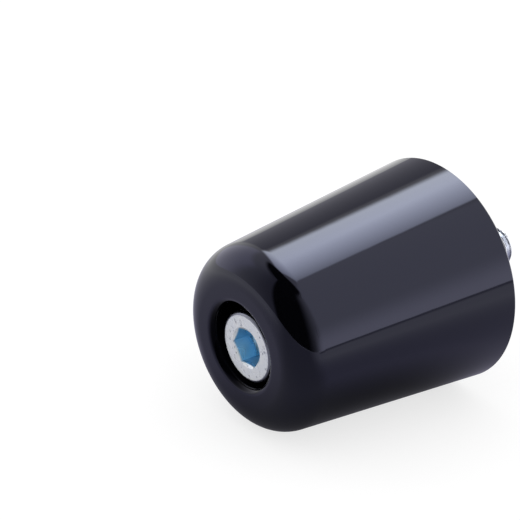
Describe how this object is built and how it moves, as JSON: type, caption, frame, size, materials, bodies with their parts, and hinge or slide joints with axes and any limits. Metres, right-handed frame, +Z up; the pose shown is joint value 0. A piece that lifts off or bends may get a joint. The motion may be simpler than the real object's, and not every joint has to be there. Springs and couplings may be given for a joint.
{
  "type": "bar end weight",
  "caption": "Tapered turned handlebar end weight, gloss black, with a rounded nose and a counterbore that holds a loose zinc-plated socket cap screw.",
  "frame": {"origin": "centre of the flat rear face, which seats on the handlebar's end", "axes": "+Y along the weight's axis into the handlebar, so the nose faces -Y; +Z up, with the loose screw lying on the bottom of its hole; +X to the right of someone who looks along +Y at the nose"},
  "size_m": [0.032, 0.0472, 0.032],
  "materials": {
    "gloss_black": "gloss black electrophoretic paint over turned steel",
    "zinc_plate": "bright blue-white zinc plate"
  },
  "bodies": {
    "root": {"weight_body": "gloss_black", "cap_screw": "zinc_plate"}
  },
  "joints": []
}
